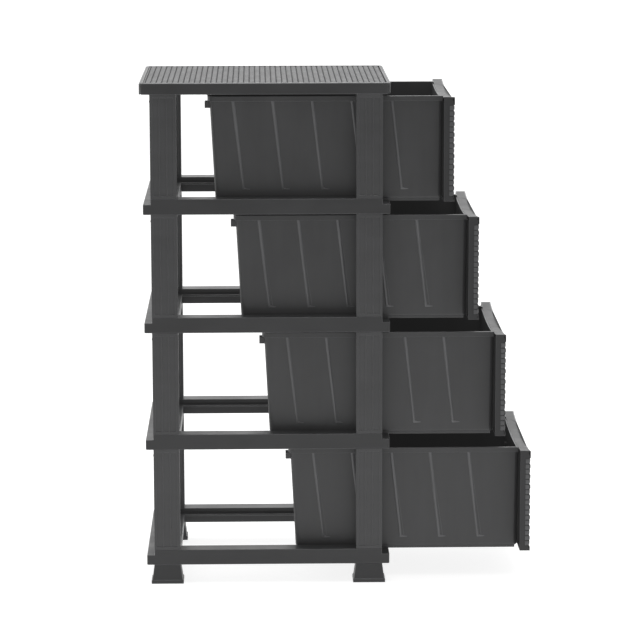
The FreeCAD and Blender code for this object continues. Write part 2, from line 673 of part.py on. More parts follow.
def add_skids(body):
    """Two skids under the floor, and stop heels that drop between the cross rails."""
    overlap = "sizes.bin_wall / 2"
    edge = f"({FLOOR_HALF} - sizes.bin_bottom_edge / 4)"
    front = "sizes.hook_gap + sizes.front_draft + sizes.bin_bottom_edge"
    heel_rear = f"({CLOSED_Y} + {POST_INNER_Y} - sizes.heel_gap)"
    runs = (
        ("skids", 0, front, f"{FLOOR_REAR} - sizes.bin_bottom_edge", "0"),
        ("heels", 2, f"{heel_rear} - sizes.heel_length", heel_rear, "sizes.heel_depth"),
    )
    for name, inset, low, high, extra in runs:
        sketch = new_sketch(body, f"{name}_outline", height=overlap)
        outer = f"({edge} - {inset} * sizes.skid_width)"
        inner = f"({outer} - sizes.skid_width)"
        add_rectangle(sketch, f"-{outer}", f"-{inner}", low, high)
        add_rectangle(sketch, inner, outer, low, high)
        pad(body, name, sketch, f"sizes.skid_height + {extra} + {overlap}", reverse=True)


def add_hook_slots(body):
    """Four slots through the front wall for the hooks of the drawer front."""
    sketch = new_sketch(body, "hook_slot_outline", plane="XZ_Plane")
    reach = "(sizes.hook_width / 2 + sizes.hook_gap)"
    for side in ("-", ""):
        across = f"{side}sizes.hook_spread / 2"
        for up in HOOK_LEVELS:
            low = f"{up} - sizes.hook_gap"
            high = f"{up} + sizes.hook_thickness + sizes.hook_catch + sizes.hook_gap"
            add_rectangle(sketch, f"{across} - {reach}", f"{across} + {reach}", low, high)
    depth = "sizes.hook_gap + sizes.front_draft + 2 * sizes.bin_wall"
    return pocket(body, "hook_slots", sketch, depth)


def wall_face(up):
    """How far the bin's front wall stands behind the front's back plane, at a height."""
    return f"(sizes.hook_gap + sizes.front_draft * (1 - ({up}) / {BIN_HEIGHT}))"


def add_front_outline(sketch, side_inset, end_inset):
    """The outline of a drawer front, or one inside it, with the scoop in its top edge."""
    half, top = f"({HALF_WIDTH} - {side_inset})", f"({DRAWER_HEIGHT} - {end_inset})"
    add_sagging(sketch, half, top, end_inset, "sizes.scoop")


def make_drawer_front(tier, y, z):
    """A hollow front with a scooped top edge, raised strands and hooks at its back."""
    body = new_body(f"drawer_front_{tier}", y=y, z=z)
    outline = new_sketch(body, "front_outline", plane="XZ_Plane")
    add_front_outline(outline, "0", "0")
    pad(body, "front", outline, FRONT_OVERALL)

    field = new_sketch(body, "field_outline", plane="XZ_Plane", height=FRONT_OVERALL)
    add_front_outline(field, "0", "sizes.front_border")
    pocket(body, "field", field, "sizes.weave_relief")

    hollow = new_sketch(body, "hollow_outline", plane="XZ_Plane")
    add_front_outline(hollow, "sizes.front_wall", "sizes.front_wall")
    pocket(body, "hollow", hollow, "sizes.front_thickness - sizes.front_wall", reverse=True)

    strand = new_sketch(body, "strand_outline", plane="XZ_Plane", height="sizes.front_thickness")
    thickness = "(sizes.row_pitch - sizes.strand_gap)"
    high = f"sizes.first_row + {thickness}"
    add_rectangle(strand, f"-{HALF_WIDTH}", HALF_WIDTH, "sizes.first_row", high)
    raised = pad(body, "strand", strand, "sizes.weave_relief")
    space = f"({DRAWER_HEIGHT} - sizes.front_border - sizes.scoop - {high})"
    count = f"floor({space} / (2 * sizes.row_pitch)) + 1"
    row(body, "strands", raised, "Z_Axis", "2 * sizes.row_pitch", count)

    add_wall_stops(body)
    add_hooks(body)
    return body


def add_wall_stops(body):
    """Two upright ribs in the hollow that follow the lean of the bin's front wall."""
    low, high = "sizes.front_wall / 2", f"({DRAWER_HEIGHT} - sizes.scoop - sizes.front_wall)"
    start = "-sizes.front_thickness + sizes.front_wall / 2"
    place = f"({FLOOR_HALF} - sizes.bin_front_corner - sizes.front_wall)"
    for side in ("-", ""):
        name = "left_wall_stop" if side else "right_wall_stop"
        sketch = new_sketch(body, f"{name}_outline", "YZ_Plane", f"{side}{place}")
        backs = [(f"{wall_face(up)} - sizes.hook_gap", up) for up in (low, high)]
        add_outline(sketch, [(start, low), backs[0], backs[1], (start, high)])
        pad(body, name, sketch, "sizes.front_wall", both=True)


def add_hooks(body):
    """Stems from the skin through the bin's front wall, each with a catch behind it."""
    for side in ("-", ""):
        name = "left_hooks" if side else "right_hooks"
        sketch = new_sketch(body, f"{name}_outline", "YZ_Plane", f"{side}sizes.hook_spread / 2")
        for up in HOOK_LEVELS:
            top = f"{up} + sizes.hook_thickness"
            back = f"{wall_face(up)} + sizes.bin_wall + sizes.hook_gap + sizes.runner_gap"
            end = f"{back} + sizes.front_wall"
            add_outline(
                sketch,
                [
                    ("-sizes.front_thickness + sizes.front_wall / 2", up),
                    (back, up),
                    (back, f"{up} - sizes.hook_catch"),
                    (end, f"{up} - sizes.hook_catch"),
                    (end, top),
                    ("-sizes.front_thickness + sizes.front_wall / 2", top),
                ],
            )
        pad(body, name, sketch, "sizes.hook_width", both=True)


def make_tower():
    pieces = [make_top_panel()]
    for tier in range(1, TIERS + 1):
        frame_z = f"(sizes.foot_height + {TIERS - tier} * sizes.tier_pitch)"
        pieces.append(make_shelf_frame(tier, frame_z))
        for end, y_sign in (("front", "-"), ("rear", "")):
            for side, x_sign in (("left", "-"), ("right", "")):
                place_y = f"{FRAME_Y} + {y_sign}{POST_Y}"
                label = f"post_{tier}_{end}_{side}"
                height = f"{frame_z} + sizes.rail_height"
                pieces.append(make_post(label, f"{x_sign}{POST_X}", place_y, height))
                if tier == TIERS:
                    pieces.append(make_foot(f"foot_{end}_{side}", f"{x_sign}{POST_X}", place_y))
        drawer_y = f"{FRAME_Y} - {CLOSED_Y} - sizes.open_{tier}"
        drawer_z = f"{frame_z} + {BIN_LIFT}"
        pieces.append(make_drawer_bin(tier, drawer_y, drawer_z))
        pieces.append(make_drawer_front(tier, drawer_y, drawer_z))
    return pieces


pieces = make_tower()
doc.recompute()
for thing in doc.Objects:
    if "Invalid" in thing.State or "Error" in thing.State:
        raise RuntimeError(f"{thing.Name} did not recompute: {thing.State}")
os.makedirs("parts", exist_ok=True)
for piece in pieces:
    if piece.Shape.isNull() or not piece.Shape.isValid():
        raise RuntimeError(f"{piece.Label} has no valid shape")
    if len(piece.Shape.Solids) != 1:
        raise RuntimeError(f"{piece.Label} has {len(piece.Shape.Solids)} solids")
for piece in pieces:
    piece.Shape.exportStep(f"parts/{piece.Label}.step")
print(f"{len(pieces)} pieces written")
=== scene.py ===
import math

import bmesh
import bpy
from bpy.props import FloatProperty, FloatVectorProperty, IntProperty, PointerProperty
from mathutils import Matrix, Vector


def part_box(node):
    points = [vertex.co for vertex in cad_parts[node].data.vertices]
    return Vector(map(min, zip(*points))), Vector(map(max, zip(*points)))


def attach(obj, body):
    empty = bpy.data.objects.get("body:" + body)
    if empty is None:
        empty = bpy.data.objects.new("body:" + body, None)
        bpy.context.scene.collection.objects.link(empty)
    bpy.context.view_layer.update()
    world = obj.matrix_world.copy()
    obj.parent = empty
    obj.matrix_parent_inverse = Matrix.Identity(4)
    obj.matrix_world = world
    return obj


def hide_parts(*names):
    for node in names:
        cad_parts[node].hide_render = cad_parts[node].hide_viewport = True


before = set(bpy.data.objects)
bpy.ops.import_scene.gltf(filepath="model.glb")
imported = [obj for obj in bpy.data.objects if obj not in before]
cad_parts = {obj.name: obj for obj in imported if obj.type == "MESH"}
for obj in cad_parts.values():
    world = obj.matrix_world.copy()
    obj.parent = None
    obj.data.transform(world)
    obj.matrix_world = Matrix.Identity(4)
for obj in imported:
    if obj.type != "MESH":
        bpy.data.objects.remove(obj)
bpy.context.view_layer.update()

bl_info = {
    "name": "Woven drawer tower",
    "version": (1, 0, 0),
    "blender": (4, 5, 0),
    "location": "View3D > Sidebar > Drawer Tower",
    "description": "Dresses a plastic drawer tower: rounded mouldings, woven top and fronts, studio",
    "category": "Object",
}

TIERS = (1, 2, 3, 4)
ENDS = ("front", "rear")
SIDES = ("left", "right")

# Distances in metres
WELD = 0.000005
SAME_LEVEL = 0.00002
TUCKED = 0.00005

JOINED_ANGLE = math.radians(0.6)


class TowerMouldings(bpy.types.PropertyGroup):
    """Sizes of the moulded plastic's edges and of the plain bands that frame the weave."""

    edge_round: FloatProperty(
        name="Edge round",
        description="Radius of an outer edge",
        default=0.0009,
        unit="LENGTH",
    )
    fine_round: FloatProperty(
        name="Fine round",
        description="Radius of an edge on flutes and ribs",
        default=0.0004,
        unit="LENGTH",
    )
    sharp_angle: FloatProperty(
        name="Sharp angle",
        description="Edges that turn by more than this are rounded",
        default=math.radians(32),
        subtype="ANGLE",
    )
    top_border: FloatProperty(
        name="Top border",
        description="Plain edge around the top's weave",
        default=0.006,
        unit="LENGTH",
    )
    top_relief: FloatProperty(
        name="Top relief",
        description="Depth of the furrows in the top",
        default=0.001,
        unit="LENGTH",
    )
    front_border: FloatProperty(
        name="Front border",
        description="Plain band above and below a front's weave",
        default=0.006,
        unit="LENGTH",
    )
    front_relief: FloatProperty(
        name="Front relief",
        description="Height of a front's weave",
        default=0.0018,
        unit="LENGTH",
    )
    top_sink: FloatProperty(
        name="Top sink",
        description="How much deeper the furrows in the top go than in the solids",
        default=0.0008,
        unit="LENGTH",
    )
    front_depth: FloatProperty(
        name="Front depth",
        description="A front's back plane to its foremost face",
        default=0.0168,
        unit="LENGTH",
    )
    wrap_rise: FloatProperty(
        name="Wrap rise",
        description="How far the ends of the woven rows stand off a front's side",
        default=0.0009,
        unit="LENGTH",
    )
    scoop: FloatProperty(
        name="Scoop",
        description="Dip of a front's top edge at mid width",
        default=0.0085,
        unit="LENGTH",
    )
    mouth_round: FloatProperty(
        name="Mouth round",
        description="Radius along the top edge of a front",
        default=0.0026,
        unit="LENGTH",
    )
    top_round: FloatProperty(
        name="Top round",
        description="Radius of the top panel's upper edge",
        default=0.0018,
        unit="LENGTH",
    )
    wrap_reach: FloatProperty(
        name="Wrap reach",
        description="How far the ends of the woven rows run back along a front's side",
        default=0.0065,
        unit="LENGTH",
    )


class TowerWeave(bpy.types.PropertyGroup):
    """Sizes of the moulded rattan weave."""

    strand_pitch: FloatProperty(
        name="Strand pitch",
        description="From one strand to the next",
        default=0.0087,
        unit="LENGTH",
    )
    row_pitch: FloatProperty(
        name="Row pitch",
        description="From one row of a front to the next",
        default=0.00855,
        unit="LENGTH",
    )
    first_row: FloatProperty(
        name="First row",
        description="A front's lower edge to its lowest row that is raised at the ends",
        default=0.0179,
        unit="LENGTH",
    )
    stake_pitch: FloatProperty(
        name="Stake pitch",
        description="From one hidden stake to the next",
        default=0.31 / 28,
        unit="LENGTH",
    )
    furrow: FloatProperty(
        name="Furrow",
        description="Width of the groove between strands",
        default=0.0014,
        unit="LENGTH",
    )
    seed: IntProperty(
        name="Seed",
        description="Picks the small differences from strand to strand",
        default=7,
    )


class TowerRibs(bpy.types.PropertyGroup):
    """Sizes of the slanted ribs on the bins' side walls, as the solids have them."""

    first: FloatProperty(
        name="First",
        description="Bin front to the middle of the first rib at its top",
        default=0.082,
        unit="LENGTH",
    )
    pitch: FloatProperty(
        name="Pitch",
        description="One rib to the next",
        default=0.0635,
        unit="LENGTH",
    )
    count: IntProperty(name="Count", description="Ribs on a side wall", default=5)
    lean: FloatProperty(
        name="Lean",
        description="How far a rib's foot stands ahead of its top",
        default=0.016,
        unit="LENGTH",
    )
    foot: FloatProperty(
        name="Foot",
        description="Bin floor to the foot of a rib",
        default=0.016,
        unit="LENGTH",
    )
    top: FloatProperty(
        name="Top",
        description="Bin floor to the top of a rib",
        default=0.1584,
        unit="LENGTH",
    )
    width: FloatProperty(
        name="Width",
        description="Width of a rib at its top",
        default=0.0056,
        unit="LENGTH",
    )
    height: FloatProperty(
        name="Height",
        description="How far a rib stands off the wall",
        default=0.0012,
        unit="LENGTH",
    )
    hook: FloatProperty(
        name="Hook",
        description="How far the thin toe of a rib runs forward",
        default=0.013,
        unit="LENGTH",
    )
    wall_half: FloatProperty(
        name="Wall",
        description="Mid width to the outside of a bin's side wall at its floor",
        default=0.120,
        unit="LENGTH",
    )
    wall_run: FloatProperty(
        name="Wall run",
        description="How far a side wall leans out from its floor to its rim",
        default=0.0015,
        unit="LENGTH",
    )
    wall_rise: FloatProperty(
        name="Wall rise",
        description="Height over which a side wall leans",
        default=0.1664,
        unit="LENGTH",
    )


class TowerPlastics(bpy.types.PropertyGroup):
    """Colours and gloss of the plastic."""

    frame_colour: FloatVectorProperty(
        name="Frame colour",
        description="Posts, shelf frames, feet and top",
        subtype="COLOR",
        size=3,
        min=0,
        max=1,
        default=(0.027, 0.0273, 0.0284),
    )
    drawer_colour: FloatVectorProperty(
        name="Drawer colour",
        description="Bins and fronts",
        subtype="COLOR",
        size=3,
        min=0,
        max=1,
        default=(0.031, 0.0313, 0.0324),
    )
    gloss: FloatProperty(
        name="Roughness",
        description="Roughness of a plain moulded face",
        default=0.42,
        subtype="FACTOR",
        min=0,
        max=1,
    )


class TowerStudio(bpy.types.PropertyGroup):
    """The camera and the lights."""

    lens: FloatProperty(
        name="Lens",
        description="Focal length on a 36 mm wide frame, in millimetres",
        default=159.85,
    )
    camera_place: FloatVectorProperty(
        name="Camera place",
        description="Where the camera stands",
        subtype="TRANSLATION",
        size=3,
        default=(-4.6521, 0.1294, 1.2419),
    )
    yaw: FloatProperty(
        name="Yaw",
        description="Turn of the view from +X towards +Y",
        subtype="ANGLE",
        default=-0.0226,
    )
    pitch: FloatProperty(
        name="Pitch",
        description="Tilt of the view below the horizon",
        subtype="ANGLE",
        default=0.1774,
    )
    roll: FloatProperty(
        name="Roll",
        description="Turn of the camera about its view",
        subtype="ANGLE",
        default=0.0014,
    )
    near_surround: FloatProperty(
        name="Near surround",
        description="Brightness of the white surround behind the camera",
        default=0.3,
    )
    far_surround: FloatProperty(
        name="Far surround",
        description="Brightness of the white surround behind the tower",
        default=1.45,
    )
    veil: FloatProperty(
        name="Veil",
        description="Stray light in the lens",
        default=0.0095,
    )
    softbox: FloatProperty(
        name="Softbox",
        description="Power of the large light overhead",
        default=100.0,
        unit="POWER",
    )


# Shader helpers


def new_material(name):
    """A material with an empty tree but for its shader and output."""
    material = bpy.data.materials.new(name)
    material.use_nodes = True
    tree = material.node_tree
    tree.nodes.clear()
    output = tree.nodes.new("ShaderNodeOutputMaterial")
    shader = tree.nodes.new("ShaderNodeBsdfPrincipled")
    tree.links.new(shader.outputs["BSDF"], output.inputs["Surface"])
    return material, tree, shader


def object_noise(tree, scale, detail, stretch=(1, 1, 1)):
    """Noise in the piece's own space, in turns to the metre."""
    place = tree.nodes.new("ShaderNodeTexCoord")
    mapping = tree.nodes.new("ShaderNodeMapping")
    mapping.inputs["Scale"].default_value = stretch
    noise = tree.nodes.new("ShaderNodeTexNoise")
    noise.inputs["Scale"].default_value = scale
    noise.inputs["Detail"].default_value = detail
    tree.links.new(place.outputs["Object"], mapping.inputs["Vector"])
    tree.links.new(mapping.outputs["Vector"], noise.inputs["Vector"])
    return noise.outputs["Fac"]


def spread(tree, value, low, high, to_low, to_high, smooth=False):
    """Maps a value from one range to another and holds it there."""
    node = tree.nodes.new("ShaderNodeMapRange")
    node.interpolation_type = "SMOOTHSTEP" if smooth else "LINEAR"
    node.clamp = True
    for name, number in (
        ("From Min", low),
        ("From Max", high),
        ("To Min", to_low),
        ("To Max", to_high),
    ):
        feed(tree, number, node.inputs[name])
    feed(tree, value, node.inputs["Value"])
    return node.outputs["Result"]


def feed(tree, value, socket):
    """Links a socket's value, or sets a plain number."""
    if isinstance(value, bpy.types.NodeSocket):
        tree.links.new(value, socket)
    else:
        socket.default_value = value


def calc(tree, operation, *values):
    """One sum of sockets and numbers."""
    node = tree.nodes.new("ShaderNodeMath")
    node.operation = operation
    for value, socket in zip(values, node.inputs):
        feed(tree, value, socket)
    return node.outputs[0]


def shade(tree, colour, factor, low, high):
    """The colour, darkened or lightened as a factor goes from 0 to 1."""
    node = tree.nodes.new("ShaderNodeMix")
    node.data_type = "RGBA"
    feed(tree, factor, node.inputs["Factor"])
    node.inputs["A"].default_value = (*(low * part for part in colour), 1)
    node.inputs["B"].default_value = (*(high * part for part in colour), 1)
    return node.outputs["Result"]


def bumped(tree, shader, height, distance, strength):
    """Gives the shader a bump from a height."""
    bump = tree.nodes.new("ShaderNodeBump")
    bump.inputs["Distance"].default_value = distance
    bump.inputs["Strength"].default_value = strength
    tree.links.new(height, bump.inputs["Height"])
    tree.links.new(bump.outputs["Normal"], shader.inputs["Normal"])


def moulded_plastic(name, colour, roughness, flow, lift, sheen):
    """Satin plastic: fine mould grain, cloudy tone, faint flow marks and rubbed patches."""
    material, tree, shader = new_material(name)
    grain = object_noise(tree, 1500, 2)
    cloud = object_noise(tree, 14, 3)
    streaks = object_noise(tree, 60, 2, flow)
    clouded = calc(tree, "MULTIPLY", cloud, 0.6)
    tone = calc(tree, "ADD", clouded, calc(tree, "MULTIPLY", streaks, 0.4))
    tone = spread(tree, tone, 0.36, 0.64, 0, 1)
    # lift scales the colour: painted light or shade for each kind of piece, and a painted highlight
    # on the ribs and edge copies.
    feed(tree, shade(tree, colour, tone, 0.84 * lift, 1.18 * lift), shader.inputs["Base Color"])
    rubbed = calc(tree, "ADD", tone, calc(tree, "MULTIPLY", grain, 0.3))
    gloss = spread(tree, rubbed, 0, 1.3, roughness - 0.06, roughness + 0.08)
    feed(tree, gloss, shader.inputs["Roughness"])
    height = calc(tree, "ADD", grain, calc(tree, "MULTIPLY", streaks, 2.0))
    shader.inputs["Specular IOR Level"].default_value = sheen
    bumped(tree, shader, height, 0.0001, 0.25)


def woven_plastic(name, colour, roughness):
    """The same plastic on the weave: fibre lines along the strands, random tone from strand to
    strand, and painted shade in the furrows.
    """
    material, tree, shader = new_material(name)
    relief = tree.nodes.new("ShaderNodeAttribute")
    relief.attribute_name = "weave_relief"
    tone = tree.nodes.new("ShaderNodeAttribute")
    tone.attribute_name = "weave_tone"
    fibres = object_noise(tree, 900, 2, (0.04, 1, 1))
    # Colour and reflection both fall from the crowns down into the furrows: painted shade where the
    # strands dip under one another.
    depth = spread(tree, relief.outputs["Fac"], 0.05, 0.75, 0, 1, smooth=True)
    strand_tone = calc(tree, "MULTIPLY", tone.outputs["Fac"], 0.35)
    tone_and_furrow_shade = calc(tree, "ADD", strand_tone, calc(tree, "MULTIPLY", depth, 0.65))
    feed(tree, shade(tree, colour, tone_and_furrow_shade, 0.55, 1.25), shader.inputs["Base Color"])
    gloss = calc(tree, "SUBTRACT", roughness + 0.2, calc(tree, "MULTIPLY", depth, 0.16))
    feed(tree, gloss, shader.inputs["Roughness"])
    rubbed = spread(tree, tone.outputs["Fac"], 0, 1, 0.39, 0.53)
    feed(tree, calc(tree, "MULTIPLY", depth, rubbed), shader.inputs["Specular IOR Level"])
    bumped(tree, shader, fibres, 0.00018, 0.45)


# Mesh helpers


def cad_mesh(node, flat_faces_joined=True):
    """A bmesh of a CAD node with its loose triangles merged."""
    bm = bmesh.new()
    bm.from_mesh(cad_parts[node].data)
    bmesh.ops.remove_doubles(bm, verts=bm.verts, dist=WELD)
    if flat_faces_joined:
        join_flat_faces(bm)
    return bm


def join_flat_faces(bm):
    """Joins faces that lie flat side by side."""
    bmesh.ops.dissolve_limit(
        bm,
        angle_limit=JOINED_ANGLE,
        use_dissolve_boundaries=False,
        verts=bm.verts,
        edges=bm.edges,
        delimit={"NORMAL"},
    )


def take_off(bm, level, outward, inside):
    """Takes off what stands above a plane and closes it, where a face's middle is inside.

    The mesh still has its triangles: the middle of a joined face can lie outside the face."""
    origin = outward * level
    bmesh.ops.bisect_plane(
        bm,
        geom=bm.verts[:] + bm.edges[:] + bm.faces[:],
        plane_co=origin,
        plane_no=outward,
    )
    raised = [
        face
        for face in bm.faces
        if face.calc_center_median().dot(outward) > level + SAME_LEVEL
        and inside(face.calc_center_median())
    ]
    bmesh.ops.delete(bm, geom=raised, context="FACES")
    open_edges = [edge for edge in bm.edges if edge.is_boundary]
    bmesh.ops.holes_fill(bm, edges=open_edges, sides=0)
    bmesh.ops.recalc_face_normals(bm, faces=bm.faces)


def finish_piece(bm, name, body, materials, edge_round, wide_round=0.0, wide=None):
    """Rounds the edges, makes the object and lets it ride on its body.

    Edges whose middle passes the test wide get the radius wide_round."""
    sizes = bpy.context.scene.tower_mouldings
    widest = max(edge_round, wide_round)
    weights = bm.edges.layers.float.new("bevel_weight_edge")
    for edge in bm.edges:
        sharp = len(edge.link_faces) == 2 and edge.calc_face_angle(0) > sizes.sharp_angle
        edge.smooth = not sharp
        if sharp:
            edge[weights] = edge_round / widest
            if wide and wide((edge.verts[0].co + edge.verts[1].co) / 2):
                edge[weights] = wide_round / widest
    mesh = bpy.data.meshes.new(name)
    bm.to_mesh(mesh)
    bm.free()
    raw = bpy.data.objects.new(f"{name}_raw", mesh)
    bpy.context.scene.collection.objects.link(raw)
    for material in materials:
        mesh.materials.append(material)
    for polygon in mesh.polygons:
        polygon.use_smooth = True
        polygon.material_index = 0
    bevel = raw.modifiers.new("Rounded edges", "BEVEL")
    bevel.limit_method = "WEIGHT"
    bevel.width = widest
    bevel.segments = 2
    bevel.use_clamp_overlap = False
    # The rounds take the last material, the lighter edge copy, which paints a highlight along every
    # rounded edge.
    bevel.material = len(materials) - 1
    bevel.face_strength_mode = "FSTR_ALL"
    normals = raw.modifiers.new("Even shading", "WEIGHTED_NORMAL")
    normals.mode = "FACE_AREA"
    normals.weight = 100
    normals.use_face_influence = True
    return settled(raw, name, body)


def settled(raw, name, body):
    """A plain mesh of an object with modifiers, riding on its body."""
    evaluated = raw.evaluated_get(bpy.context.evaluated_depsgraph_get())
    mesh = bpy.data.meshes.new_from_object(evaluated)
    bpy.data.objects.remove(raw)
    piece = bpy.data.objects.new(name, mesh)
    mesh.name = name
    bpy.context.scene.collection.objects.link(piece)
    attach(piece, body)
    return piece


def moulded(node, body, materials, edge_round):
    """A CAD node's own shape with rounded edges, standing for the node."""
    bm = cad_mesh(node)
    piece = finish_piece(bm, f"{node}_moulded", body, materials, edge_round)
    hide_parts(node)
    return piece


# What repeats, as trees of geometry nodes


def new_tree(name, sockets):
    """A tree with named inputs and one geometry output."""
    tree = bpy.data.node_groups.new(name, "GeometryNodeTree")
    for label, kind in sockets:
        tree.interface.new_socket(label, in_out="INPUT", socket_type=kind)
    tree.interface.new_socket("Geometry", in_out="OUTPUT", socket_type="NodeSocketGeometry")
    return tree, tree.nodes.new("NodeGroupInput").outputs


def end_tree(tree, geometry, material):
    """Ends a tree with plain geometry in its material."""
    realized = tree.nodes.new("GeometryNodeRealizeInstances")
    tree.links.new(geometry, realized.inputs["Geometry"])
    painted = tree.nodes.new("GeometryNodeSetMaterial")
    tree.links.new(realized.outputs["Geometry"], painted.inputs["Geometry"])
    feed(tree, material, painted.inputs["Material"])
    output = tree.nodes.new("NodeGroupOutput")
    tree.links.new(painted.outputs["Geometry"], output.inputs["Geometry"])


def grown(tree, name, body, values, edge_round=0.0):
    """A plain mesh from a tree and its inputs, riding on a body."""
    raw = bpy.data.objects.new(f"{name}_raw", bpy.data.meshes.new(f"{name}_raw"))
    bpy.context.scene.collection.objects.link(raw)
    modifier = raw.modifiers.new("Rule", "NODES")
    modifier.node_group = tree
    for item in tree.interface.items_tree:
        if item.in_out == "INPUT":
            modifier[item.identifier] = values[item.name]
    if edge_round:
        bevel = raw.modifiers.new("Rounded edges", "BEVEL")
        bevel.width = edge_round
        bevel.segments = 2
    return settled(raw, name, body)


def vector_of(tree, x, y, z):
    """A vector of three sockets or numbers."""
    node = tree.nodes.new("ShaderNodeCombineXYZ")
    for value, socket in zip((x, y, z), node.inputs):
        feed(tree, value, socket)
    return node.outputs["Vector"]


def place_parts(tree):
    """The X and Y of every point."""
    position = tree.nodes.new("GeometryNodeInputPosition")
    parts = tree.nodes.new("ShaderNodeSeparateXYZ")
    tree.links.new(position.outputs["Position"], parts.inputs["Vector"])
    return parts.outputs["X"], parts.outputs["Y"]


def turned(tree, geometry, place, turn):
    """Geometry that is turned and then moved to its place."""
    node = tree.nodes.new("GeometryNodeTransform")
    tree.links.new(geometry, node.inputs["Geometry"])
    feed(tree, place, node.inputs["Translation"])
    feed(tree, turn, node.inputs["Rotation"])
    return node.outputs["Geometry"]


# The weave


WEAVE_SOCKETS = (
    ("Length", "NodeSocketFloat"),
    ("Width", "NodeSocketFloat"),
    ("Strand pitch", "NodeSocketFloat"),
    ("Stake pitch", "NodeSocketFloat"),
    ("Relief", "NodeSocketFloat"),
    ("Furrow", "NodeSocketFloat"),
    ("Margin", "NodeSocketFloat"),
    ("Start", "NodeSocketFloat"),
    ("Scoop", "NodeSocketFloat"),
    ("Skirt", "NodeSocketFloat"),
    ("Place", "NodeSocketVector"),
    ("Turn", "NodeSocketRotation"),
    ("Seed", "NodeSocketInt"),
    ("Material", "NodeSocketMaterial"),
)


